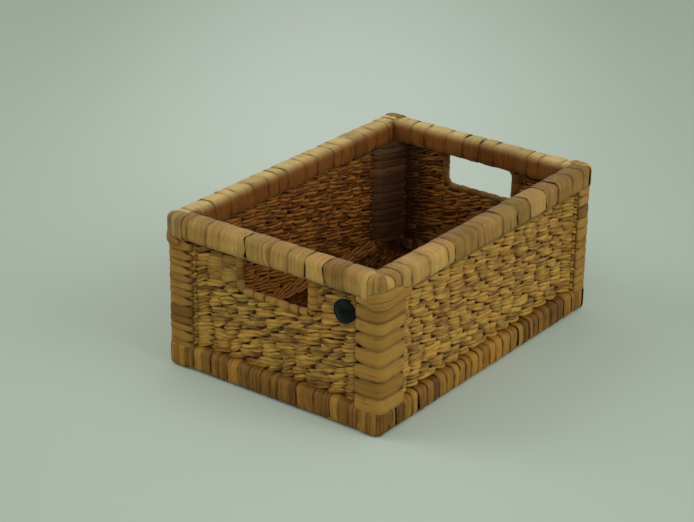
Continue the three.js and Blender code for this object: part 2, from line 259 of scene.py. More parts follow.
# Rims: the finish of their strips and its tones, which differ from rim to rim partly as painted light; how
# many strips at the left end are paler; and where strips meet in the photo, in millimetres from the wall's
# middle. A cover is strips over the ends of a rim that runs through: their tones, and how far they take the
# inside tint; on the left rim these make the covers darker, as painted shade.
RIMS = {
    "right": {
        "finish": "rim_leaf", "tones": (0.12, 0.3), "pale": 6, "cover": ((0.4, 0.25), 0.0),
        "edges": [-192, -175, -157, -125, -92, -78, -61, -33, -22, 14, 44, 70, 103, 128, 160, 184],
    },
    "left": {
        "finish": "painted_light_rim_leaf", "tones": (0.92, 0.3), "pale": 0, "cover": ((0.1, 0.2), 0.42),
        "edges": [],
    },
    "front": {
        "finish": "rim_leaf", "tones": (0.3, 0.3), "pale": 0,
        "edges": [-116, -87, -71, -35, -1, 23, 46, 70, 94],
    },
    "back": {
        "finish": "painted_light_rim_leaf", "tones": (0.92, 0.3), "pale": 0,
        "edges": [],
    },
}
RIM_STRIP = (23 * MM, 0.45)
RIM_WIND = (2, 0.25, 0.7, 0.2)
RIM_BEND = 8.5 * MM
RIM_PLAN = 16 * MM
PALE_TONES = (0.4, 0.4)

# Border, and what it shares with the rim
BORDER_STRIP = (12.5 * MM, 0.35)
BORDER_WIND = (1.5, 0.5, 1.0, 0.15)
BORDER_BEND = 8 * MM
BORDER_PLAN = 14.5 * MM
BORDER_RISE = 0.7 * MM
BORDER_TONES = {"right": (0.5, 0.3), "front": (0.4, 0.3), "left": (0.5, 0.3), "back": (0.5, 0.3)}
LEVEL_SLANT = 4 * MM
LEVEL_SEAM = 0.8
ROD_ROUND = 6 * MM
BUTT_ROUND = 3.5 * MM
# How far the painted shade reaches where rods butt
BUTT_SHADE = 4 * MM
PLAN_REACH = 2.5
COVER_STRIP = 9 * MM
COVER_STEP = 1 * MM
COVER_LENGTH = 13 * MM
COVER_RANGE = (0.8, 1.3)
COVER_LIFT = 0.4 * STRIP_THICK
COVER_DIP = 0.5 * MM
COVER_CROWN = 0.4 * MM
COVER_SHARES = (-0.62, -0.05, 0.45, 0.78)

# Corner wraps: their strips, seams, winds and tones, how far the strips narrow beside the walls, and how far
# the inner corner is folded in, in millimetres
CORNERS = {
    "front_right": {
        "strip": (16 * MM, 0.35), "seam": 0.5, "wind": (1.5, 0.4, -0.8, 0.1), "tones": (0.62, 0.36),
        "tucked": 0.3, "fold": (7, 5),
    },
    "front_left": {
        "strip": (9.5 * MM, 0.45), "seam": 0.3, "wind": (1.5, 0.3, -0.8, 0.1), "tones": (0.5, 0.32),
        "tucked": 0.42, "fold": (7, 5),
    },
    "back_right": {
        "strip": (12 * MM, 0.25), "seam": 0.3, "wind": (1.5, 0.45, -0.8, 0.1), "tones": (0.62, 0.22),
        "tucked": 0.15, "fold": (7, 5),
    },
    "back_left": {
        "strip": (8 * MM, 0.35), "seam": 0.5, "wind": (1.5, 0.4, -0.8, 0.1), "tones": (0.45, 0.32),
        "tucked": 0.15, "fold": (26, 4),
    },
}
CORNER_WALL = 17.5 * MM
CORNER_ROUNDS = [11 * MM, 4 * MM, 5 * MM, 5 * MM, 5 * MM, 6 * MM]
CORNER_FOOT = 5 * MM
CORNER_HEAD = 0.8 * MM
CORNER_SLANT = 1.5 * MM
CORNER_CLOSED = 0.85
CLOSING_LENGTH = 3 * MM
CLOSING_CURVE = 1.5
TUCK_LENGTH = 9 * MM
# Painted shade inside the back left corner: the share of the inside tint at its post, how fast it grows
# toward the back end, and the least share
AHEAD_DARK = 0.98
AHEAD_RATE = 6
AHEAD_LEAST = 0.8

# Leaves that rise from a corner over the rim's lower edge: height, width, and reach along the side and the
# end, in millimetres
CORNER_CUFFS = {
    "front_right": [(154, 14, 48, 15), (161, 12, 34, 9)],
    "front_left": [(155.5, 12, 38, 22)],
}
CUFF_SLANT = 7 * MM
CUFF_DROOP = 4 * MM
CUFF_TIP = 0.03
CUFF_TAPER = 0.3
CUFF_TILT = 0.12
CUFF_LIFT = 1.7 * MM
CUFF_CROWN = 0.5 * MM
# Painted shade at the edges of a cuff
CUFF_SHADE = 6
CUFF_TONES = (0.5, 0.15)

# Paler leaves in a corner's wrap: height in millimetres, and how dark the inside stays
PALE_LEAVES = {"back_left": [(123, 0.84), (145, 0.9)]}

# Badge: each step is how far its face is set in, and how far forward that goes as a share of its depth
BADGE_SHIFT = 2.5 * MM
BADGE_SIDES = 56
BADGE_EDGE = 0.3
BADGE_STEPS = [(0.45 * MM, 0.12), (1.1 * MM, -0.1)]
BADGE_RINGS = 7
BADGE_CROWN = 0.62
BADGE_BEVEL = 0.25 * MM

# Finishes
LEAF_SMOOTH = math.radians(55)
BADGE_SMOOTH = math.radians(35)
LEAF_SPECULAR = 0.15
LEAF_RELIEF = 0.6 * MM
CANE_RELIEF = 0.3 * MM
CANE_GRAIN = (900, 900, 40)
# Painted shade: the cane's colours are darkened, since it shows only in the gaps of the weave
CANE_DARK = (0.06, 0.03, 0.01)
CANE_PALE = (0.15, 0.085, 0.03)
BADGE_DARK = (0.001, 0.002, 0.002)
BADGE_PALE = (0.003, 0.006, 0.005)
STEEL_DARK = (0.42, 0.42, 0.41)
STEEL_PALE = (0.58, 0.58, 0.56)
WARM_TINT = (1.03, 0.985, 0.95)
GREEN_TINT = (0.975, 1.015, 0.98)
PATCH_RATE = 38
HUE_RATE = 24
BREAK_RATE = 55

# How fast bands, fibres and spots change along a leaf and across it
BAND_RATES = (14, 420)
FIBRE_RATES = (40, 1900)
SPOT_RATES = (45, 260)

# Strength of the fibres' relief, and the colours of each kind of leaf
LEAF_BUMPS = {
    "rim_leaf": 0.5, "painted_light_rim_leaf": 0.5, "border_leaf": 0.5, "corner_leaf": 0.3, "woven_leaf": 0.5,
}
# The stain colour also darkens strip edges and painted shade; the inside colour darkens faces that look into
# the basket, partly as the leaf's darker inner side and partly as painted shade; the last number is how
# strong the painted shade is
LEAF_LOOKS = {
    "rim_leaf": {
        "Pale": (0.50, 0.31, 0.085), "Deep": (0.18, 0.093, 0.017), "Stain And Shade": (0.08, 0.037, 0.006),
        "Inside": (0.36, 0.21, 0.12), "Tone Spread": 0.8, "Streaks": 1.1, "Staining": 0.35,
        "Edge Dark": 0.3, "Painted Shade Dark": 0.8,
    },
    # A lit copy of the rim leaf for the far rims: its paler colours are painted light, and its darker inside
    # tint is painted shade
    "painted_light_rim_leaf": {
        "Pale": (0.57, 0.42, 0.15), "Deep": (0.22, 0.12, 0.025), "Stain And Shade": (0.08, 0.037, 0.006),
        "Inside": (0.34, 0.17, 0.08), "Tone Spread": 0.8, "Streaks": 1.1, "Staining": 0.45,
        "Edge Dark": 0.4, "Painted Shade Dark": 0.9,
    },
    # Border leaf: its colours are set darker partly as painted shade, where it stands low by the floor
    "border_leaf": {
        "Pale": (0.33, 0.165, 0.022), "Deep": (0.095, 0.038, 0.005), "Stain And Shade": (0.035, 0.013, 0.003),
        "Inside": (0.5, 0.34, 0.26), "Tone Spread": 0.9, "Streaks": 1.4, "Staining": 0.5,
        "Edge Dark": 0.45, "Painted Shade Dark": 0.8,
    },
    "corner_leaf": {
        "Pale": (0.32, 0.170, 0.030), "Deep": (0.15, 0.069, 0.010), "Stain And Shade": (0.055, 0.022, 0.003),
        "Inside": (0.14, 0.077, 0.33), "Tone Spread": 1.2, "Streaks": 1.3, "Staining": 0.45,
        "Edge Dark": 0.6, "Painted Shade Dark": 1.0,
    },
    "woven_leaf": {
        "Pale": (0.44, 0.25, 0.044), "Deep": (0.12, 0.053, 0.008), "Stain And Shade": (0.03, 0.013, 0.005),
        "Inside": (0.85, 0.56, 0.46), "Tone Spread": 1.1, "Streaks": 1.6, "Staining": 0.5,
        "Edge Dark": 0.45, "Painted Shade Dark": 0.9,
    },
}

# Leaf is pressed flat where the basket stands on it
LOWEST = np.array((-math.inf, -math.inf, 0.05 * MM))

# Each strip takes its fibres from a place of its own along a leaf this long, in metres
LEAF_LENGTH = 9

# Leaves that are modelled once and copied: the sides of a leaf's tube, and the cuts along it
LEAVES = {
    "side strand": (8, (10, 10)),
    "end strand": (8, (8, 8)),
    "short strand": (8, (27,)),
    "mat strand": (6, (9, 9)),
    "mat rib": (8, (3,)),
    "core": (6, (1,)),
    "rim strip": (16, (39,)),
    "border strip": (12, (39,)),
    "corner strip": (12, (55,)),
    "hole strip": (10, (23,)),
    "broad leaf": (12, (23,)),
    "cuff": (12, (31,)),
}
LEVEL_EDGE = 1e-4


# Lines and random lines

def wander(places, reach, waves=3):
    """A smooth random line over the places, with about unit height; reach is the length of its main wave."""
    places = np.asarray(places, float)
    total = np.zeros_like(places)
    for order in range(1, waves + 1):
        phase = random.uniform(0, 2 * math.pi)
        rate = random.uniform(*WAVE_RANGE) * order / reach
        total += np.sin(2 * math.pi * rate * places + phase) / order
    return total


def stray(places, kind):
    """A random line of one of the kinds that STRAYS lists."""
    amount, reach = STRAYS[kind]
    return amount * wander(places, reach)


def from_least(least, share):
    """Grows from a least value to one as a share grows from nothing to one."""
    return least + (1 - least) * share


def unit(vectors):
    """Rows of vectors, each made one unit long."""
    return vectors / np.linalg.norm(vectors, axis=1)[:, None]


def lengths_along(line):
    """How far along a line of points each of them lies."""
    return np.concatenate([[0], np.cumsum(np.linalg.norm(np.diff(line, axis=0), axis=1))])


def points_at(line, places):
    """Points of a flat line, at places along it."""
    lengths = lengths_along(line)
    return np.column_stack([np.interp(places, lengths, line[:, axis]) for axis in (0, 1)])


def random_edges(low, high, shares):
    """Places where rows or strips meet, from their random shares of the way."""
    return low + (high - low) * np.concatenate([[0], np.cumsum(shares)]) / shares.sum()


# Leaf strips

def deselect():
    bpy.ops.object.select_all(action="DESELECT")


def model_leaf(sides, cuts):
    """A straight leaf strip, one unit long, wide and thick, from a tube that is cut into rings."""
    deselect()
    bpy.ops.mesh.primitive_cylinder_add(vertices=sides, radius=0.5, depth=1)
    leaf = bpy.context.object
    for number in cuts:
        bpy.ops.object.mode_set(mode="EDIT")
        bpy.ops.mesh.select_mode(type="EDGE")
        bpy.ops.mesh.select_all(action="DESELECT")
        bpy.ops.object.mode_set(mode="OBJECT")
        for edge in leaf.data.edges:
            low, high = (leaf.data.vertices[v].co.z for v in edge.vertices)
            edge.select = abs(high - low) > LEVEL_EDGE
        bpy.ops.object.mode_set(mode="EDIT")
        bpy.ops.mesh.subdivide(number_cuts=number)
        bpy.ops.object.mode_set(mode="OBJECT")
    return read_leaf(leaf, math.prod(number + 1 for number in cuts))


def column(items, key, per_item=1, kind=int):
    """One value of all items of a mesh."""
    values = np.empty(per_item * len(items), kind)
    items.foreach_get(key, values)
    return values


def read_leaf(leaf, lengths):
    """What a modelled strip hands to its copies: place along, across and through, and its faces."""
    mesh = leaf.data
    across, through, along = column(mesh.vertices, "co", 3, float).reshape(-1, 3).T
    shape = {
        "along": along + 0.5,
        "across": across,
        "through": through,
        "station": np.rint((along + 0.5) * lengths).astype(int),
        "stations": np.linspace(0, 1, lengths + 1),
        "loops": column(mesh.loops, "vertex_index"),
        "starts": column(mesh.polygons, "loop_start"),
    }
    bpy.data.objects.remove(leaf)
    bpy.data.meshes.remove(mesh)
    return shape


def lay_along(leaf, line, out, width, thick, lift=0.0):
    """The points of a strip that follows a line with its face turned out; lift raises each point."""
    tangent = unit(np.gradient(line, axis=0))
    out = unit(out - tangent * np.sum(tangent * out, axis=1)[:, None])
    side = np.cross(out, tangent)
    station = leaf["station"]
    across = leaf["across"] * np.broadcast_to(width, len(line))[station]
    raised = leaf["through"] * np.broadcast_to(thick, len(line))[station] + lift
    return line[station] + side[station] * across[:, None] + out[station] * raised[:, None]


def arched(leaf):
    """One along the middle of a strip, and nothing at its edges."""
    return 1 - 4 * leaf["across"] ** 2


def laid(leaf, points, length, width, tone, painted_shade=0.0, inside=0.0):
    """One strip ready to be joined: its lay along and across the leaf, and what its finish depends on,
    painted shade included.
    """
    start = random.uniform(0, LEAF_LENGTH)
    strip = {
        "leaf": leaf,
        "points": np.maximum(points, LOWEST),
        "lay": np.column_stack([leaf["along"] * length + start, leaf["across"] * width]),
        "edge": np.abs(2 * leaf["across"]),
    }
    for key, value in (("tone", tone), ("painted_shade", painted_shade), ("inside", inside)):
        strip[key] = np.broadcast_to(np.clip(value, 0, 1), leaf["along"].shape)
    return strip


def joined(runs, sizes):
    """Runs of indices end to end, each one counted on from the sizes before it."""
    firsts = np.concatenate([[0], np.cumsum(sizes)[:-1]])
    return np.concatenate([run + first for run, first in zip(runs, firsts)]).astype(np.int32)


def make_piece(name, strips, material, node):
    """Joins laid strips into one piece that stands for a CAD node."""
    leaves = [strip["leaf"] for strip in strips]
    loops = joined([leaf["loops"] for leaf in leaves], [len(leaf["along"]) for leaf in leaves])
    starts = joined([leaf["starts"] for leaf in leaves], [len(leaf["loops"]) for leaf in leaves])
    points, lay = (np.concatenate([strip[key] for strip in strips]) for key in ("points", "lay"))

    mesh = bpy.data.meshes.new(name)
    mesh.vertices.add(len(points))
    mesh.vertices.foreach_set("co", points.ravel())
    mesh.loops.add(len(loops))
    mesh.loops.foreach_set("vertex_index", loops)
    mesh.polygons.add(len(starts))
    mesh.polygons.foreach_set("loop_start", starts)
    mesh.update(calc_edges=True)
    for key in ("tone", "edge", "painted_shade", "inside"):
        values = np.concatenate([strip[key] for strip in strips])
        mesh.attributes.new(key, "FLOAT", "POINT").data.foreach_set("value", values)
    mesh.uv_layers.new(name="lay").data.foreach_set("uv", lay[loops].ravel())
    mesh.validate()

    piece = bpy.data.objects.new(name, mesh)
    bpy.context.scene.collection.objects.link(piece)
    hand_over(piece, LEAF_SMOOTH, material, node)


def hand_over(piece, smooth_angle, material, node):
    """Smooths a piece, gives it its finish and lets it stand for a CAD node."""
    deselect()
    piece.select_set(True)
    bpy.context.view_layer.objects.active = piece
    bpy.ops.object.shade_smooth_by_angle(angle=smooth_angle)
    piece.data.materials.append(material)
    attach(piece, "root")
    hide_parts(node)


# Woven walls

def wall_frame(name):
    """A wall's own frame: along it from the left, as seen from outside, and out of its face."""
    traits = WALLS[name]
    low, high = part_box(f"{name}_panel")
    along = Vector(traits["along"])
    middle = (low + high) / 2
    middle.z = 0
    stakes = []
    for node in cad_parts:
        if node.startswith(f"{name}_stake_"):
            first, last = sorted(along.dot(corner - middle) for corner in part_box(node))
            stakes += [first + STAKE_RADIUS, last - STAKE_RADIUS]
    return {
        **traits,
        "name": name,
        "middle": np.array(middle),
        "along": np.array(along),
        "out": np.array(traits["out"], float),
        "up": UP,
        "half": abs(along.dot(high - low)) / 2,
        "low": low.z,
        "high": high.z - traits["gap"],
        "stakes": np.array(sorted(stakes)),
        "facing": 1,
        "swell": np.array(traits["swell"], float),
    }


def mat_frame():
    """The base as a wall that lies flat: strands run along the basket, over ribs that run across it."""
    low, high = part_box("base_mat")
    half = (high.x - low.x) / 2
    return {
        "middle": np.array((low + high) / 2),
        "along": np.array((1.0, 0.0, 0.0)),
        "out": UP,
        "up": np.array((0.0, 1.0, 0.0)),
        "half": half - STRAND_TUCK,
        "low": -(high.y - low.y) / 2,
        "high": (high.y - low.y) / 2,
        "stakes": half * ((2 * np.arange(MAT_RIBS) + 1) / MAT_RIBS - 1),
        "facing": -1,
        "swell": np.zeros(2),
        "tone": MAT_TONE,
        "painted_light": 0.0,
        "shade": 0.0,
        "painted_gloom": 0.0,
    }


def on_wall(wall, along, depth, rise):
    """Points of a wall: along it, out of its middle, and up."""
    points = wall["middle"] + np.outer(along, wall["along"])
    return points + np.outer(depth, wall["out"]) + np.outer(rise, wall["up"])


def past_ends(wall, places):
    """How far places along a wall lie past its left end, and past its right end."""
    return np.array([-places, places]) - wall["half"]


def stake_count(wall, places):
    """How many stakes lie before each place, with fractions between two stakes."""
    stakes = wall["stakes"]
    edge = wall["half"] + CORNER_EDGE
    padded = np.concatenate([[-edge], stakes, [edge]])
    return np.interp(places, padded, np.arange(-1, len(stakes) + 1))


def strand_depth(wall, places, swing, thick):
    """How far a strand stands out of the middle of its wall; it settles toward its ends."""
    settled = np.clip(np.minimum(places - places[0], places[-1] - places) / SETTLE_LENGTH, 0, 1)
    depth = swing * (STAKE_RADIUS + STRAND_CLEAR + thick / 2) * from_least(END_DEPTH, settled)
    depth *= 1 + stray(places, "strand depth")
    return depth + wall["swell"] @ np.clip(past_ends(wall, places) / SWELL_LENGTH + 1, 0, 1) ** 2


def strand_tone(wall, places, rise, inside):
    """A strand's tone along it; it varies more inside, and the light painted on the wall's low right part
    shifts it, as shade where the amount is below nothing.
    """
    tone = random.normal(0, STRAND_TONES) + stray(places, "strand tone")
    painted_light = np.clip((places - PAINTED_LIGHT_START) / PAINTED_LIGHT_RAMP, 0, 1) * np.clip((PAINTED_LIGHT_TOP - rise) / PAINTED_LIGHT_FADE, 0, 1)
    return np.maximum(wall["tone"] + wall["painted_light"] * painted_light + tone * (1 + INSIDE_CONTRAST * inside), LEAST_TONE)


def strand_painted_shade(leaf, wall, places, points, spread, inside):
    """How much painted shade a strand gets: at crossings, at edges seen inside, at the ends and under the
    rim.
    """
    station = leaf["station"]
    past = past_ends(wall, places)
    past_plain = np.max(np.where(wall["swell"][:, None] > 0, -1.0, past), axis=0)
    # Painted shadow at a wall's ends, beside the corner wraps that stand proud of it
    tucked = np.clip(past_plain / TUCK_SHADE + random.uniform(*TUCK_RANGE), 0, 1)
    # Painted shade inside, deepening toward the wall's right end
    tucked += inside * np.clip(wall["painted_gloom"] * (1 + past[1] / GLOOM_LENGTH), 0, 1)
    # Painted shadow under the rim
    under_rim = wall["shade"] * np.clip(1 - (wall["high"] - points @ wall["up"]) / RIM_SHADE, 0, 1)
    # Painted shade at crossings, and at strand edges seen inside
    edges = (1 - spread) ** CROSSING_SHADE + INNER_EDGE_SHADE * inside
    return edges[station] * (2 * leaf["across"]) ** 2 + tucked[station] + under_rim


def weave_strand(leaf, wall, places, rise, turn, side, weave, size):
    """A strand that passes before one stake and behind the next, where its turn is half a circle on."""
    flatness = weave["flatness"]
    turn = turn + TURN_SPREAD * random.uniform(-1, 1) * weave["shift"]
    swing = np.tanh(flatness * np.cos(turn)) / math.tanh(flatness)
    spread = np.abs(swing) ** FLOAT_SPREAD
    thick = STRAND_THICK * size
    depth = strand_depth(wall, places, swing, thick)
    apart = side * weave["pitch"] * size / 4 * from_least(CROSSING_APART, spread)
    rise = rise + apart + weave["slant"] * np.sin(turn) + stray(places, "strand rise")
    width = STRAND_WIDTH * weave["pitch"] / SIDE_WEAVE["pitch"] * size
    width *= from_least(CROSSING_PINCH, spread) * (1 + stray(places, "strand width"))
    lean = FLOAT_TILT * swing + stray(places, "strand lean")
    out = wall["out"] + np.outer(lean, wall["up"])
    rolled = thick * (STRAND_ROLL - (STRAND_ROLL - 1) * spread)
    points = lay_along(leaf, on_wall(wall, places, depth, rise), out, width, rolled)
    # How far the strand faces inside: there it takes the inside tint, which is partly painted shade
    inside = np.clip(0.5 - INSIDE_TURN * wall["facing"] * swing, 0, 1)
    station = leaf["station"]
    tone = strand_tone(wall, places, rise, inside)[station]
    painted_shade = strand_painted_shade(leaf, wall, places, points, spread, inside)
    return laid(leaf, points, np.ptp(places), STRAND_WIDTH, tone, painted_shade, inside[station])


def places_over(leaf, span):
    """Where the stations of a strip lie, over a span of a wall."""
    start, end = span
    return start + (end - start) * leaf["stations"]


def weave_row(leaf, wall, span, height, order, weave, size):
    """A row of two pairs of strands, twined between the stakes; it is orderly near the wall's ends."""
    places = places_over(leaf, span)
    loose = np.clip((wall["half"] - np.abs(places)) / EDGE_ORDER, 0, 1)
    shift = weave["shift"] * loose * (random.uniform(-ROW_SHIFT, ROW_SHIFT) + stray(places, "row shift"))
    turn = math.pi * (stake_count(wall, places) + order + shift)
    rise = height + stray(places, "row rise")
    pairs = [(math.pi * ply, side) for ply in (0, 1) for side in (-1, 1)]
    return [weave_strand(leaf, wall, places, rise, turn + ply, side, weave, size) for ply, side in pairs]


def row_edges(low, high, pitch):
    """Heights where rows of a weave meet, uneven as hand work is."""
    return random_edges(low, high, random.normal(1, ROW_SPREAD, round((high - low) / pitch)))


def weave_wall(wall, leaves, weave, hole=None):
    """All rows of one wall; rows beside a hand hole stop at its jambs."""
    low, high, pitch = wall["low"], wall["high"], weave["pitch"]
    edges = row_edges(low, high, pitch)
    if hole:
        sill = hole["sill"]
        edges = np.concatenate([row_edges(low, sill, pitch), row_edges(sill, high, pitch)[1:]])
    reach = wall["half"] + STRAND_TUCK
    strips = []
    for order, (bottom, top) in enumerate(zip(edges[:-1], edges[1:])):
        height = (bottom + top) / 2
        size = (top - bottom) / pitch * random.uniform(*ROW_SIZES)
        spans = [((-reach, reach), leaves["full"])]
        if hole and height > hole["sill"]:
            spans = [((-reach, -hole["jamb"]), leaves["short"]), ((hole["jamb"], reach), leaves["short"])]
        for span, leaf in spans:
            strips += weave_row(leaf, wall, span, height, order % 2, weave, size)
            strips += [shade_sheet_leaf(leaves["core"], wall, span, level) for level in (bottom, height)]
    return strips + [shade_sheet_leaf(leaves["core"], wall, span, high) for span, leaf in spans]


def shade_sheet_leaf(leaf, wall, span, height):
    """Painted shade: a dark leaf in the middle of a wall, where two rows meet; it shows only in the gaps
    between strands.
    """
    line = on_wall(wall, places_over(leaf, span), 0, height)
    points = lay_along(leaf, line, wall["out"], SHADE_SHEET_WIDTH, SHADE_SHEET_THICK)
    return laid(leaf, points, span[1] - span[0], SHADE_SHEET_WIDTH, SHADE_SHEET_TONE, painted_shade=1.0)


def lining_rows(leaf, wall, weave):
    """Rows along the foot of a wall, over the inner edge of the border; a turn is 0 on top, 90 inward."""
    low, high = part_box(f"{wall['name']}_base_wrap")
    half_thick = abs(wall["out"] @ np.array(high - low)) / 2
    bend = LINING_BEND - LINING_SINK
    reach = wall["half"] + CORNER_EDGE
    strips = []
    for order, turn in enumerate(LINING_TURNS):
        inward, rise = math.sin(math.radians(turn)), math.cos(math.radians(turn))
        depth = LINING_BEND - half_thick - bend * inward
        edge = {
            **wall,
            "middle": on_wall(wall, 0, depth, high.z - LINING_BEND + bend * rise)[0],
            "out": rise * UP - inward * wall["out"],
            "up": inward * UP + rise * wall["out"],
            "facing": -1, "swell": np.zeros(2), "shade": 0.0,
        }
        strips += weave_row(leaf, edge, (-reach, reach), 0.0, order % 2, weave, 1.0)
    return strips


def jamb_lobe(leaf, wall, lobe):
    """A broad leaf looped round a jamb: it comes out of the wall, swells and goes in again."""
    place, height, length, width, rise = (value * MM for value in lobe)
    share = leaf["stations"]
    swell = np.sin(math.pi * share) ** LOBE_FULLNESS
    along = place + length * (share - 0.5)
    up = height + rise * (share - 0.5) + stray(share, "lobe rise")
    line = on_wall(wall, along, LOBE_DEPTH * ((1 + LOBE_SINK) * swell - LOBE_SINK), up)
    out = wall["out"] + LOBE_TILT * UP + np.outer(LOBE_CURL * (share - 0.5) ** 3, wall["along"])
    bulge = LOBE_CROWN * arched(leaf) * np.sin(math.pi * leaf["along"]) + stray(leaf["across"], "lobe bulge")
    points = lay_along(leaf, line, out, width * from_least(LOBE_TAPER, swell), LOBE_THICK, bulge)
    # Painted shade where the lobe goes into the wall, and at its edges
    painted_shade = LOBE_END_SHADE * (1 - swell[leaf["station"]]) + LOBE_SHADE * leaf["across"] ** 4
    return laid(leaf, points, length, width, random.normal(*LOBE_TONES), painted_shade)


def hole_sizes(wall):
    """The lowest and highest points of a hand hole's wrap, its radius, and half of its width."""
    low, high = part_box(f"{wall['name']}_hand_hole_wrap")
    return {"low": low.z, "high": high.z, "radius": (high.x - low.x) / 2, "half": (high.y - low.y) / 2}


def hole_corner(leaf, wall, round_size):
    """A leaf that rounds the top corner of a hand hole, from the left jamb to the underside of the rim."""
    hole = hole_sizes(wall)
    turn = leaf["stations"] * math.pi / 2
    along = 2 * hole["radius"] - hole["half"] - ROUND_SINK + round_size * (1 - np.cos(turn))
    up = wall["high"] + ROUND_SINK - round_size * (1 - np.sin(turn))
    line = on_wall(wall, along, 0, up)
    out = np.outer(np.cos(turn), wall["along"]) - np.outer(np.sin(turn), UP)
    points = lay_along(leaf, line, out, ROUND_WIDTH * hole["radius"], ROUND_THICK)
    tone = random.normal(*ROUND_TONES)
    return laid(leaf, points, ROUND_LENGTH * round_size, 2 * hole["radius"], tone, inside=ROUND_INSIDE)


# Wound strips

def rounded_outline(corners, rounds):
    """A closed outline with its corners rounded, as points that run anticlockwise."""
    corners = [Vector(corner) for corner in corners]
    points = []
    for order, (corner, reach) in enumerate(zip(corners, rounds)):
        before = (corners[order - 1] - corner).normalized() * reach
        after = (corners[(order + 1) % len(corners)] - corner).normalized() * reach
        for share in np.linspace(0, 1, ROUND_STEPS):
            points.append(corner + before * (1 - share) ** 2 + after * share**2)
    points = np.array(points)
    ahead = np.roll(points, -1, axis=0)
    turned = np.sum(points[:, 0] * ahead[:, 1] - points[:, 1] * ahead[:, 0])
    return points if turned > 0 else points[::-1]


def block_outline(across, tall, bend):
    """The outline of a block, from its half width and half height."""
    return rounded_outline([(across, -tall), (across, tall), (-across, tall), (-across, -tall)], [bend] * 4)


def round_outline(radius):
    angles = np.linspace(0, 2 * math.pi, ROUND_SIDES, endpoint=False)
    return radius * np.column_stack([np.cos(angles), np.sin(angles)])


def loop_stations(outline, stations, first):
    """Points and outward normals round an outline, from a share of its length, once round and a lap more."""
    closed = np.vstack([outline, outline[:1]])
    length = lengths_along(closed)[-1]
    shares = first + stations * (1 + STRIP_LAP)

    def spots(offset):
        return points_at(closed, ((shares + offset) % 1) * length)

    step = unit(spots(LOOP_STEP) - spots(-LOOP_STEP))
    return spots(0), np.column_stack([step[:, 1], -step[:, 0]]), length * (1 + STRIP_LAP)


def wind_strip(leaf, rod, start, end, crown, tilt, crease, tone):
    """A strip wound once round a rod, from one place along it to another, lapped over its own start."""
    points, normals, length = loop_stations(rod["outline"], leaf["stations"], rod["seam"])
    station, across, along = leaf["station"], leaf["across"], leaf["along"]
    width = end - start
    slant = rod["slant"] * random.normal(1, SLANT_SPREAD)
    edge = (1 + stray(along, "strip edge")) * (rod["narrow"](points) ** random.uniform(*PINCH_RANGE))[station]
    place = (start + end) / 2 + slant * (along - 0.5) + width * (across * edge + stray(along, "strip place"))
    place = np.clip(place, rod["low"], rod["high"])
    grooves = wander(across * width + stray(along, "strip fibre"), GROOVE_LENGTH, GROOVE_WAVES)
    # How far the strip faces inside: there it takes the inside tint, which is partly painted shade
    inside = (rod["inner"](points) * (normals @ np.array(rod["inward"])))[station]
    calm = 1 - CALM_INSIDE * np.clip(inside, 0, 1)
    raised = calm * (crown * arched(leaf) + tilt * across) + crease * grooves
    raised += (leaf["through"] - 0.5) * STRIP_THICK + stray(along, "strip lift")
    raised += LAP_SINK * STRIP_THICK * (np.clip(along / LAP_RAMP, 0, 1) - 1)
    flat = points[station] * rod["shrink"](place)[:, None] + normals[station] * raised[:, None]
    painted_shade = JOINT_SHADE * across**4 * rod["joints"](normals)[station] + rod["gaps"](place, inside)
    return laid(leaf, rod["place"](place, flat), length, width, tone, painted_shade, inside)


def wind_rod(leaf, rod, edges, wind, tones, lean=1):
    """Strips wound side by side, each lapping over the next."""
    lapping, crown, tilt, crease = (value * MM for value in wind)
    strips = []
    for start, end in zip(edges[:-1], edges[1:]):
        tone = np.clip(random.normal(*tones), 0, 1)
        rise = crown * random.uniform(*CROWN_RANGE)
        tip = lean * tilt * random.uniform(*TILT_RANGE)
        over = lapping / 2 * random.uniform(*LAPPING_RANGE)
        strips.append(wind_strip(leaf, rod, start - over, end + over, rise, tip, crease, tone))
    return strips


def strip_edges(low, high, width, spread):
    """Places where strips of about one width meet, from one end of a rod to the other."""
    count = max(round((high - low) / width), 1)
    return random_edges(low, high, random.uniform(1 - spread, 1 + spread, count))


def even(points):
    """The same all the way round a rod."""
    return np.ones(len(points))


def no_gaps(places, inside):
    return 0.0


def plain_rod(**traits):
    """A rod to wind strips on, plain in what its traits don't name."""
    return {"narrow": even, "joints": even, "inner": even, "gaps": no_gaps, **traits}


def soft_ends(reach, half, bend):
    """How much of its size a rod keeps at each place, with its ends rounded over."""

    def shrink(places):
        past = np.clip(bend - reach + np.abs(places), 0, bend)
        return 1 - (bend - np.sqrt(bend**2 - past**2)) / half

    return shrink


def below(least):
    """How much painted shade a joint gets on a level rod: least on its top, and fully on its underside."""

    def shown(normals):
        return np.clip(JOINT_MIDDLE - JOINT_CHANGE * normals[:, 1], least, 1)

    return shown


def plan_set_back(from_face, plan):
    """How far the end of a rod is set back where its outer corner is rounded in plan."""
    return plan * (1 - np.sqrt(np.clip(from_face / plan, 0, 1))) ** 2


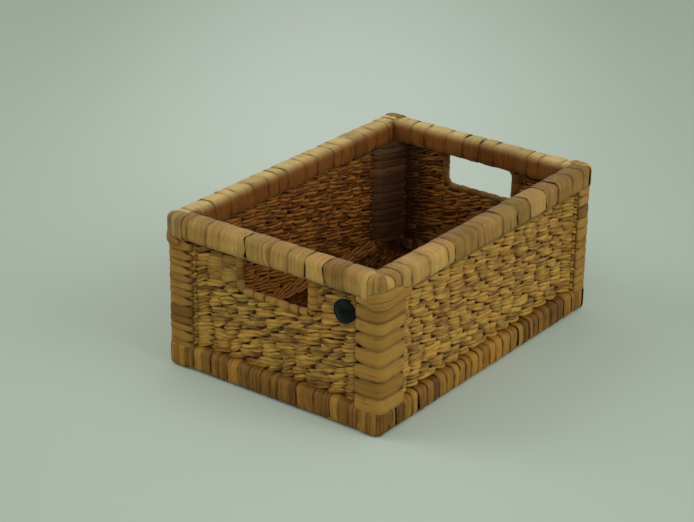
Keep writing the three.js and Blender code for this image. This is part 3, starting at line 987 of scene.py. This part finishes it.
def level_rod(wall, node, bend, plan, set_in=0.0):
    """A level rod in a wall: its outline runs inward, then up; one that runs through is rounded in plan."""
    low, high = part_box(node)
    middle, size = np.array((low + high) / 2), high - low
    reach = abs(Vector(wall["along"]).dot(size)) / 2
    thick = abs(Vector(wall["out"]).dot(size)) / 2
    half = size.z / 2 - set_in
    through = wall["through"]
    rod_wall = {**wall, "middle": middle}

    def place(places, flat):
        if through:
            near_end = np.clip((np.abs(places) - reach) / (PLAN_REACH * plan) + 1, 0, 1) ** 2
            places = places - np.sign(places) * near_end * plan_set_back(flat[:, 0] + thick, plan)
        return on_wall(rod_wall, places, -flat[:, 0], flat[:, 1])

    def gaps(places, inside):
        """Painted shade in the corner where a rod butts against this one, or this one against another."""
        butt = reach - (2 * thick if through else 0)
        near = np.exp(-(((np.abs(places) - butt) / BUTT_SHADE) ** 2))
        return near * (np.clip(2 * inside, 0, 1) if through else 1.0)

    return plain_rod(
        place=place, gaps=gaps, joints=below(wall["joint"]), inward=(1, 0),
        shrink=soft_ends(reach, half, ROD_ROUND if through else BUTT_ROUND),
        outline=block_outline(thick, half, bend), slant=LEVEL_SLANT, seam=LEVEL_SEAM,
        low=-reach, high=reach, middle=middle, half=half, thick=thick, plan=plan,
    )


def cover_line(tall):
    """The way of a strip over the end of a rod: along its top, round its end and back along its underside."""
    turns = np.linspace(0, math.pi / 2, ROUND_STEPS)
    start = (-COVER_LENGTH * random.uniform(*COVER_RANGE), tall - COVER_DIP)
    bend = [(COVER_LIFT + ROD_ROUND * (math.sin(t) - 1), tall + ROD_ROUND * (math.cos(t) - 1)) for t in turns]
    upper = [start, *bend]
    return np.array(upper + [(along, -up) for along, up in reversed(upper)])


def end_cover(leaf, rod, wall, way, offset, tone, inside):
    """A strip folded over the end of a level rod, from its top to its underside, on the rounded plan."""
    from_face = rod["thick"] - offset
    set_back = plan_set_back(from_face, rod["plan"])
    ahead = plan_set_back(from_face - COVER_STEP, rod["plan"])
    facing = way * wall["along"] * COVER_STEP + wall["out"] * (ahead - set_back)
    facing /= np.linalg.norm(facing)
    tip = rod["middle"] + way * wall["along"] * (rod["high"] - set_back) + wall["out"] * offset

    bent = cover_line(rod["half"] + COVER_LIFT)
    length = lengths_along(bent)[-1]
    flat = points_at(bent, leaf["stations"] * length)
    step = np.gradient(flat, axis=0)
    line = tip + np.outer(flat[:, 0], facing) + np.outer(flat[:, 1], UP)
    out = np.outer(-step[:, 1], facing) + np.outer(step[:, 0], UP)
    points = lay_along(leaf, line, out, COVER_STRIP, STRIP_THICK, COVER_CROWN * arched(leaf))
    return laid(leaf, points, length, COVER_STRIP, tone, JOINT_SHADE * leaf["across"] ** 4, inside)


def cover_ends(leaf, rod, wall, tones, inside=0.0):
    """Strips side by side over both ends of a rod, from its inner face to its rounded outer corner."""
    places = [(way, share * rod["thick"]) for way in (-1, 1) for share in COVER_SHARES]
    return [end_cover(leaf, rod, wall, way, offset, random.normal(*tones), inside) for way, offset in places]


def corner_rod(name, style):
    """An upright rod at a corner of the basket; strips narrow where they tuck in beside the walls."""
    low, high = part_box(f"{name}_corner_wrap")
    outer = Vector((max(low.x, high.x, key=abs), max(low.y, high.y, key=abs)))
    inner = Vector((min(low.x, high.x, key=abs), min(low.y, high.y, key=abs)))
    way = Vector((math.copysign(1, inner.x - outer.x), math.copysign(1, inner.y - outer.y)))
    fold_x, fold_y = (value * MM for value in style["fold"])
    corners = [
        outer, (inner.x, outer.y), (inner.x, outer.y + way.y * CORNER_WALL),
        (inner.x - way.x * fold_x, inner.y - way.y * fold_y),
        (outer.x + way.x * CORNER_WALL, inner.y), (outer.x, inner.y),
    ]
    post = np.array((outer + inner) / 2)
    tucks = np.array([corners[1], corners[5]]) - post
    top = high.z + CORNER_HEAD

    def narrow(points):
        gap = np.min([np.linalg.norm(points - tuck, axis=1) for tuck in tucks], axis=0)
        return 1 - style["tucked"] * np.exp(-((gap / TUCK_LENGTH) ** 2))

    def place(places, flat):
        return np.column_stack([post + flat, places])

    def closed_top(places):
        return 1 - CORNER_CLOSED * np.clip((places - top) / CLOSING_LENGTH + 1, 0, 1) ** CLOSING_CURVE

    return plain_rod(
        place=place, shrink=closed_top, narrow=narrow, inner=painted_shade_ahead if name == "back_left" else even,
        outline=rounded_outline(corners, CORNER_ROUNDS) - post, inward=way.normalized(), way=np.array(way),
        low=low.z + CORNER_FOOT, high=top, slant=CORNER_SLANT, seam=style["seam"],
    )


def painted_shade_ahead(points):
    """Painted shade on the inside of a corner, which gets darker toward the back end."""
    return np.clip(AHEAD_DARK + AHEAD_RATE * points[:, 0], AHEAD_LEAST, 1)


def hoop_rod(wall):
    """The bent rod of a hand hole: down the left jamb, along the sill and up the right jamb."""
    hole = hole_sizes(wall)
    radius, top = hole["radius"], hole["high"]
    half = hole["half"] - radius
    sill = hole["low"] + radius
    turns = np.linspace(0, math.pi / 2, BEND_STEPS)
    bends = [(HOOP_BEND * (1 - math.cos(t)) - half, sill + HOOP_BEND * (1 - math.sin(t))) for t in turns]
    left = [(-half, top), *bends]
    line = np.array(left + [(-along, up) for along, up in reversed(left)])
    length = lengths_along(line)[-1]

    def place(places, flat):
        step = unit(points_at(line, places + HOOP_STEP) - points_at(line, places - HOOP_STEP))
        spot = points_at(line, places) + np.column_stack([-step[:, 1], step[:, 0]]) * flat[:, :1]
        return on_wall(wall, spot[:, 0], flat[:, 1], spot[:, 1])

    def swollen(places):
        """The jamb on the right side of the basket is the thicker one."""
        from_top = places if wall["along"][1] > 0 else length - places
        return 1 + JAMB_SWELL * np.clip((top - sill - from_top) / JAMB_SWELL_LENGTH, 0, 1)

    # Half the inside tint, partly painted shade, all round the hole's strips
    def half_inside(points):
        return 0.5

    return plain_rod(
        place=place, shrink=swollen, inner=half_inside, outline=round_outline(radius - HOOP_SLIM),
        inward=(0, -1), low=0.0, high=length, slant=HOOP_SLANT, seam=HOOP_SEAM, jamb=top - sill,
        core_height=hole["low"] + HOOP_SHADE_SHEET_RISE,
        core_spans=[(side * half - HOOP_SHADE_SHEET, side * half + HOOP_SHADE_SHEET) for side in (-1, 1)],
    )


# Materials

def feed(tree, node, values):
    """Gives inputs of a node, by name or number, their numbers, colours or links."""
    for key, value in values.items():
        socket = node.inputs[key]
        if isinstance(value, bpy.types.NodeSocket):
            tree.links.new(value, socket)
        else:
            socket.default_value = (*value, 1) if socket.type == "RGBA" else value


def add_node(tree, kind, values=None, **settings):
    node = tree.nodes.new(f"ShaderNode{kind}")
    for name, setting in settings.items():
        setattr(node, name, setting)
    feed(tree, node, values or {})
    return node


def math_node(tree, operation, *values, clamp=False):
    node = add_node(tree, "Math", dict(enumerate(values)), operation=operation, use_clamp=clamp)
    return node.outputs[0]


def mix_colour(tree, blend, factor, first, second):
    values = {0: factor, 6: first, 7: second}
    return add_node(tree, "Mix", values, data_type="RGBA", blend_type=blend).outputs[2]


def noise(tree, vector, scale, detail, roughness=0.5):
    values = {"Vector": vector, "Scale": scale, "Detail": detail, "Roughness": roughness}
    return add_node(tree, "TexNoise", values).outputs["Fac"]


def ramp(tree, value, low, high):
    values = {"Value": value, "From Min": low, "From Max": high}
    return add_node(tree, "MapRange", values, interpolation_type="SMOOTHSTEP").outputs["Result"]


def bump(tree, height, strength, distance):
    values = {"Height": height, "Strength": strength, "Distance": distance}
    return add_node(tree, "Bump", values).outputs["Normal"]


def attribute(tree, name):
    return add_node(tree, "Attribute", attribute_name=name).outputs["Fac"]


def object_place(tree):
    return add_node(tree, "TexCoord").outputs["Object"]


def about_half(tree, value, gain):
    """How far a value lies from a half, times a gain."""
    return math_node(tree, "MULTIPLY", math_node(tree, "SUBTRACT", value, 0.5), gain)


def lay_noise(tree, rates, detail, roughness=0.5):
    """Noise drawn out on a leaf, with its rates along and across it."""
    lay = add_node(tree, "UVMap", uv_map="lay").outputs["UV"]
    drawn = add_node(tree, "VectorMath", {0: lay, 1: (*rates, 0)}, operation="MULTIPLY")
    return noise(tree, drawn.outputs[0], 1, detail, roughness)


def new_leaf_group():
    """A node group with an input for each trait of a leaf's look."""
    group = bpy.data.node_groups.new("leaf_fibre", "ShaderNodeTree")
    for label, value in LEAF_LOOKS["rim_leaf"].items():
        kind = "NodeSocketColor" if isinstance(value, tuple) else "NodeSocketFloat"
        group.interface.new_socket(label, in_out="INPUT", socket_type=kind)
    for label, kind in (("Color", "Color"), ("Roughness", "Float"), ("Height", "Float")):
        group.interface.new_socket(label, in_out="OUTPUT", socket_type=f"NodeSocket{kind}")
    return group, group.nodes.new("NodeGroupInput").outputs, group.nodes.new("NodeGroupOutput")


def leaf_fibre_group():
    """Dried leaf: fibres along the strip, tones from strip to strip, stains, darker strip edges, painted
    shade, and an inside tint that is partly the leaf's darker inner side and partly painted shade.
    """
    group, look, result = new_leaf_group()
    place = object_place(group)
    bands = lay_noise(group, BAND_RATES, 2)
    fibres = lay_noise(group, FIBRE_RATES, 3, 0.6)
    spots = lay_noise(group, SPOT_RATES, 2)
    patches = noise(group, place, PATCH_RATE, 3)

    weight = about_half(group, attribute(group, "tone"), look["Tone Spread"])
    for value, gain in ((bands, look["Streaks"]), (fibres, 0.7), (patches, 0.7)):
        weight = math_node(group, "ADD", weight, about_half(group, value, gain))
    weight = math_node(group, "ADD", weight, 0.55, clamp=True)
    colour = mix_colour(group, "MIX", weight, look["Deep"], look["Pale"])
    hue = ramp(group, noise(group, place, HUE_RATE, 2), 0.35, 0.65)
    colour = mix_colour(group, "MULTIPLY", 1.0, colour, mix_colour(group, "MIX", hue, GREEN_TINT, WARM_TINT))

    stained = math_node(group, "MULTIPLY", ramp(group, spots, 0.56, 0.74), look["Staining"])
    broken = ramp(group, noise(group, place, BREAK_RATE, 2), 0.38, 0.62)
    edge = math_node(group, "MULTIPLY", ramp(group, attribute(group, "edge"), 0.72, 1.0), broken)
    edged = math_node(group, "MULTIPLY", edge, look["Edge Dark"])
    # The share of painted shade, where strips lie deep, in gaps, beside the corners and under the rim
    shade_share = math_node(group, "MULTIPLY", attribute(group, "painted_shade"), look["Painted Shade Dark"])
    # Real stains, darker strip edges and painted shade all darken toward one colour
    for share in (stained, edged, shade_share):
        colour = mix_colour(group, "MIX", share, colour, look["Stain And Shade"])
    # The inside tint: partly the leaf's darker inner side, partly painted shade
    colour = mix_colour(group, "MULTIPLY", attribute(group, "inside"), colour, look["Inside"])

    rough = math_node(group, "MULTIPLY_ADD", fibres, 0.3, 0.36)
    rough = math_node(group, "MULTIPLY_ADD", stained, 0.15, rough)
    height = math_node(group, "MULTIPLY_ADD", bands, 0.6, math_node(group, "MULTIPLY", fibres, 0.4))
    feed(group, result, {"Color": colour, "Roughness": rough, "Height": height})
    return group


def plain_material(name):
    material = bpy.data.materials.new(name)
    material.use_nodes = True
    return material, material.node_tree, material.node_tree.nodes["Principled BSDF"]


def leaf_material(name, fibre, strength):
    """A leaf finish: the colours of one kind of strip, given to the shared fibre group."""
    material, tree, shader = plain_material(name)
    leaf = add_node(tree, "Group", node_tree=fibre)
    feed(tree, leaf, LEAF_LOOKS[name])
    feed(tree, shader, {
        "Base Color": leaf.outputs["Color"],
        "Roughness": leaf.outputs["Roughness"],
        "Normal": bump(tree, leaf.outputs["Height"], strength, LEAF_RELIEF),
        "Specular IOR Level": LEAF_SPECULAR,
    })
    return material


def cane_material():
    material, tree, shader = plain_material("bare_cane")
    # The cane's dark colours are painted shade: it shows only in gaps of the weave
    drawn = add_node(tree, "Mapping", {"Vector": object_place(tree), "Scale": CANE_GRAIN})
    grain = noise(tree, drawn.outputs["Vector"], 1, 4)
    feed(tree, shader, {
        "Base Color": mix_colour(tree, "MIX", ramp(tree, grain, 0.3, 0.7), CANE_DARK, CANE_PALE),
        "Roughness": math_node(tree, "MULTIPLY_ADD", grain, 0.25, 0.35),
        "Normal": bump(tree, grain, 0.25, CANE_RELIEF),
    })
    return material


def badge_material():
    material, tree, shader = plain_material("badge_gloss")
    scuffs = noise(tree, object_place(tree), 420, 4, 0.65)
    feed(tree, shader, {
        "Base Color": mix_colour(tree, "MIX", scuffs, BADGE_DARK, BADGE_PALE),
        "Roughness": math_node(tree, "MULTIPLY_ADD", ramp(tree, scuffs, 0.45, 0.75), 0.22, 0.1),
        "Specular IOR Level": 0.1,
    })
    return material


def washer_material():
    material, tree, shader = plain_material("washer_steel")
    haze = noise(tree, object_place(tree), 600, 3)
    feed(tree, shader, {
        "Base Color": mix_colour(tree, "MIX", haze, STEEL_DARK, STEEL_PALE),
        "Roughness": math_node(tree, "MULTIPLY_ADD", haze, 0.3, 0.25),
        "Metallic": 1.0,
    })
    return material


def floor_material():
    """A pale floor with a painted pool of light, palest round and behind the basket."""
    material, tree, shader = plain_material("pale_floor")
    place = object_place(tree)
    lie = {"Vector": place, "Location": LIGHT_POOL_PLACE, "Rotation": (0, 0, CAMERA_AZIMUTH), "Scale": LIGHT_POOL_SIZE}
    light_pool = add_node(tree, "Mapping", lie, vector_type="TEXTURE").outputs["Vector"]
    fall = add_node(tree, "TexGradient", {"Vector": light_pool}, gradient_type="SPHERICAL").outputs["Fac"]
    mottle = math_node(tree, "MULTIPLY", noise(tree, place, 1.5, 2), 0.1)
    light = math_node(tree, "ADD", ramp(tree, fall, 0.0, 1.0), mottle, clamp=True)
    feed(tree, shader, {
        "Base Color": mix_colour(tree, "MIX", light, FLOOR_DEEP, FLOOR_PALE),
        "Roughness": 0.9,
        "Specular IOR Level": 0.1,
    })
    return material


# The basket's pieces

def side_wall(wall, leaves):
    """A long side of the basket: rows from corner to corner."""
    strand = leaves["side strand"]
    strips = weave_wall(wall, {"full": strand, "core": leaves["core"]}, SIDE_WEAVE)
    return strips + lining_rows(strand, wall, SIDE_WEAVE)


def end_wall(wall, leaves):
    """An end of the basket: rows that leave the hand hole open, and broad leaves round it."""
    name, strand, broad = wall["name"], leaves["end strand"], leaves["broad leaf"]
    sizes = hole_sizes(wall)
    hole = {"jamb": sizes["half"] - sizes["radius"] + JAMB_CLEAR, "sill": sizes["low"] + SILL_SINK}
    strands = {"full": strand, "short": leaves["short strand"], "core": leaves["core"]}
    strips = weave_wall(wall, strands, END_WEAVE, hole)
    strips += lining_rows(strand, wall, END_WEAVE)
    strips += [jamb_lobe(broad, wall, lobe) for lobe in LOBES[name]]
    return strips + [hole_corner(broad, wall, size * MM) for size in HOLE_ROUNDS[name]]


def add_walls(walls, leaves, material):
    for name, wall in walls.items():
        strips = end_wall(wall, leaves) if name in LOBES else side_wall(wall, leaves)
        make_piece(f"{name}_weave", strips, material, f"{name}_panel")


def add_rims(walls, leaves, finishes):
    leaf = leaves["rim strip"]
    for name, wall in walls.items():
        rim = RIMS[name]
        pale = rim["pale"]
        rod = level_rod(wall, f"{name}_rim_wrap", RIM_BEND, RIM_PLAN)
        edges = strip_edges(rod["low"], rod["high"], *RIM_STRIP)
        if rim["edges"]:
            edges = np.array([rod["low"], *(edge * MM for edge in rim["edges"]), rod["high"]])
        strips = wind_rod(leaf, rod, edges[: pale + 1], RIM_WIND, PALE_TONES, LAPS[name])
        strips += wind_rod(leaf, rod, edges[pale:], RIM_WIND, rim["tones"], LAPS[name])
        if wall["through"]:
            strips += cover_ends(leaves["broad leaf"], rod, wall, *rim["cover"])
        make_piece(f"{name}_rim_strips", strips, finishes[rim["finish"]], f"{name}_rim_wrap")


def add_borders(walls, leaves, material):
    for name, wall in walls.items():
        rod = level_rod(wall, f"{name}_base_wrap", BORDER_BEND, BORDER_PLAN, BORDER_RISE)
        edges = strip_edges(rod["low"], rod["high"], *BORDER_STRIP)
        strips = wind_rod(leaves["border strip"], rod, edges, BORDER_WIND, BORDER_TONES[name], LAPS[name])
        if wall["through"]:
            strips += cover_ends(leaves["broad leaf"], rod, wall, BORDER_TONES[name])
        make_piece(f"{name}_border_strips", strips, material, f"{name}_base_wrap")


def corner_cuff(leaf, way, cuff):
    """A leaf from a corner's wrap that rises over the lower edge of the rim and bends round the corner."""
    height, width, along_side, along_end = (value * MM for value in cuff)
    corner = -way * np.array(cad_bounds[1])[:2]
    stations = leaf["stations"]
    bend = [(RIM_PLAN * (1 - t) ** 2, RIM_PLAN * t**2) for t in np.linspace(0, 1, BEND_STEPS)]
    plan = np.array([(along_side, 0), *bend, (0, along_end)])
    length = lengths_along(plan)[-1]
    flat = points_at(plan, stations * length)
    step = unit(np.gradient(flat, axis=0))
    swell = np.sin(math.pi * (CUFF_TIP + (1 - 2 * CUFF_TIP) * stations)) ** 0.5
    tall = height - CUFF_DROOP * (1 - swell) + stray(stations * length, "cuff rise")
    tall += CUFF_SLANT * (0.5 - stations)
    line = np.column_stack([corner + way * flat, tall])
    out = np.column_stack([-way[0] * step[:, 1], way[1] * step[:, 0], np.full(len(step), CUFF_TILT)])
    line += CUFF_LIFT * out
    width_along = width * from_least(CUFF_TAPER, swell)
    points = lay_along(leaf, line, out, width_along, STRIP_THICK, CUFF_CROWN * arched(leaf))
    return laid(leaf, points, length, width, random.normal(*CUFF_TONES), CUFF_SHADE * leaf["across"] ** 4)


def lighten(strips, height, darkness):
    """Makes the strip at one height pale, also on its inside."""
    strip = min(strips, key=lambda strip: abs(strip["points"][:, 2].mean() - height))
    strip["tone"] = np.ones_like(strip["tone"])
    strip["inside"] = darkness * strip["inside"]


def add_corners(leaves, material):
    for name, style in CORNERS.items():
        rod = corner_rod(name, style)
        edges = strip_edges(rod["low"], rod["high"], *style["strip"])
        strips = wind_rod(leaves["corner strip"], rod, edges, style["wind"], style["tones"])
        for height, darkness in PALE_LEAVES.get(name, []):
            lighten(strips, height * MM, darkness)
        strips += [corner_cuff(leaves["cuff"], rod["way"], cuff) for cuff in CORNER_CUFFS.get(name, [])]
        make_piece(f"{name}_corner_strips", strips, material, f"{name}_corner_wrap")


def add_hand_holes(walls, leaves, material):
    """Broad strips down the left jamb, beads along the sill and narrow strips up the right jamb."""
    leaf = leaves["hole strip"]
    for name, wind in JAMB_LOBE_WINDS.items():
        rod = hoop_rod(walls[name])
        jamb, end = rod["jamb"], rod["high"]
        lobes = strip_edges(0, jamb, *JAMB_LOBE)
        beads = strip_edges(jamb, end - jamb, *SILL_BEAD)
        strips = wind_rod(leaf, rod, lobes, wind, JAMB_LOBE_TONES)
        strips += wind_rod(leaf, rod, beads, SILL_BEAD_WIND, SILL_BEAD_TONES)
        narrow = strip_edges(end - jamb, end, *JAMB_STRIP)
        strips += wind_rod(leaf, rod, narrow, JAMB_STRIP_WIND, JAMB_STRIP_TONES)
        # Dark leaves of painted shade at the foot of each jamb
        for span in rod["core_spans"]:
            strips.append(shade_sheet_leaf(leaves["core"], walls[name], span, rod["core_height"]))
        make_piece(f"{name}_hand_hole_strips", strips, material, f"{name}_hand_hole_wrap")


def add_mat(leaves, material):
    """The base, woven like the walls over ribs of cane."""
    mat = mat_frame()
    strips = weave_wall(mat, {"full": leaves["mat strand"], "core": leaves["core"]}, MAT_WEAVE)
    rib = leaves["mat rib"]
    thick = 2 * STAKE_RADIUS
    for place in mat["stakes"]:
        line = on_wall(mat, place, 0, mat["high"] * (2 * rib["stations"] - 1))
        points = lay_along(rib, line, UP, thick, thick)
        # The ribs take the full inside tint, which is partly painted shade
        strips.append(laid(rib, points, 2 * mat["high"], thick, RIB_TONE, inside=1.0))
    make_piece("base_plait", strips, material, "base_mat")


def step_in(inset, forward):
    """Sets the badge's face in, and moves it forward."""
    bpy.ops.mesh.inset(thickness=inset)
    bpy.ops.transform.translate(value=(-forward, 0, 0))


def add_badge(material):
    """A plain domed button: a disc drawn out to its edge, stepped in and crowned."""
    low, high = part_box("badge_button")
    middle = (low + high) / 2
    radius = (high.z - low.z) / 2
    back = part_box("front_panel")[0].x
    deep = back - low.x
    deselect()
    bpy.ops.mesh.primitive_circle_add(
        vertices=BADGE_SIDES, radius=radius, fill_type="NGON",
        location=(back, middle.y + BADGE_SHIFT, middle.z), rotation=(0, -math.pi / 2, 0),
    )
    badge = bpy.context.object
    badge.name = "badge"
    bpy.ops.object.transform_apply(location=True, rotation=True, scale=True)
    bpy.ops.object.mode_set(mode="EDIT")
    bpy.ops.mesh.select_all(action="SELECT")
    bpy.ops.mesh.extrude_region_move(TRANSFORM_OT_translate={"value": (-BADGE_EDGE * deep, 0, 0)})
    for inset, forward in BADGE_STEPS:
        step_in(inset, forward * deep)
    inner = radius - sum(inset for inset, forward in BADGE_STEPS)
    for rise in np.diff(1 - (1 - np.arange(BADGE_RINGS) / BADGE_RINGS) ** 2):
        step_in(inner / BADGE_RINGS, rise * BADGE_CROWN * deep)
    bpy.ops.object.mode_set(mode="OBJECT")
    bevel = badge.modifiers.new("soft_edges", "BEVEL")
    bevel.width = BADGE_BEVEL
    bevel.segments = 2
    bevel.limit_method = "ANGLE"
    bpy.ops.object.modifier_apply(modifier="soft_edges")
    hand_over(badge, BADGE_SMOOTH, material, "badge_button")


def dress_frame(cane, steel):
    """The poles, posts, stakes and hoops stay as the CAD made them, in bare cane darkened as painted shade;
    the washer is steel.
    """
    for name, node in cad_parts.items():
        node.data.materials.clear()
        node.data.materials.append(steel if name == "badge_washer" else cane)


# Stage

def add_camera():
    level = math.cos(CAMERA_ELEVATION)
    back = Vector((
        level * math.sin(CAMERA_AZIMUTH),
        -level * math.cos(CAMERA_AZIMUTH),
        math.sin(CAMERA_ELEVATION),
    ))
    data = bpy.data.cameras.new("camera")
    data.lens = CAMERA_LENS
    data.sensor_width = SENSOR_WIDTH
    camera = bpy.data.objects.new("camera", data)
    camera.location = CAMERA_TARGET + CAMERA_DISTANCE * back
    camera.rotation_mode = "QUATERNION"
    camera.rotation_quaternion = (-back).to_track_quat("-Z", "Y") @ Quaternion((0, 0, 1), CAMERA_ROLL)
    bpy.context.scene.collection.objects.link(camera)
    bpy.context.scene.camera = camera


def add_lamp(name, place, target, size, power):
    data = bpy.data.lights.new(name, "AREA")
    data.shape = "DISK"
    data.size = size
    data.energy = power
    lamp = bpy.data.objects.new(name, data)
    lamp.location = place
    lamp.rotation_euler = (Vector(target) - Vector(place)).to_track_quat("-Z", "Y").to_euler()
    bpy.context.scene.collection.objects.link(lamp)


def studio_world():
    """Even studio light, stronger from the sides than from above."""
    world = bpy.data.worlds.new("studio")
    world.use_nodes = True
    tree = world.node_tree
    split = add_node(tree, "SeparateXYZ", {0: add_node(tree, "TexCoord").outputs["Generated"]})
    rise = ramp(tree, split.outputs["Z"], 0.0, 1.0)
    colour = mix_colour(tree, "MIX", rise, WORLD_SIDES, WORLD_TOP)
    feed(tree, tree.nodes["Background"], {"Color": colour})
    return world


def add_stage():
    deselect()
    bpy.ops.mesh.primitive_plane_add(size=FLOOR_SIZE)
    floor = bpy.context.object
    floor.name = "floor"
    floor.data.materials.append(floor_material())
    for name, traits in LAMPS.items():
        add_lamp(name, *traits)
    bpy.context.scene.world = studio_world()
    bpy.context.scene.view_settings.view_transform = "Standard"


def build():
    add_camera()
    add_stage()
    fibre = leaf_fibre_group()
    finishes = {name: leaf_material(name, fibre, strength) for name, strength in LEAF_BUMPS.items()}
    dress_frame(cane_material(), washer_material())
    leaves = {name: model_leaf(*shape) for name, shape in LEAVES.items()}
    walls = {name: wall_frame(name) for name in WALLS}
    add_walls(walls, leaves, finishes["woven_leaf"])
    add_rims(walls, leaves, finishes)
    add_borders(walls, leaves, finishes["border_leaf"])
    add_corners(leaves, finishes["corner_leaf"])
    add_hand_holes(walls, leaves, finishes["corner_leaf"])
    add_mat(leaves, finishes["woven_leaf"])
    add_badge(badge_material())


build()
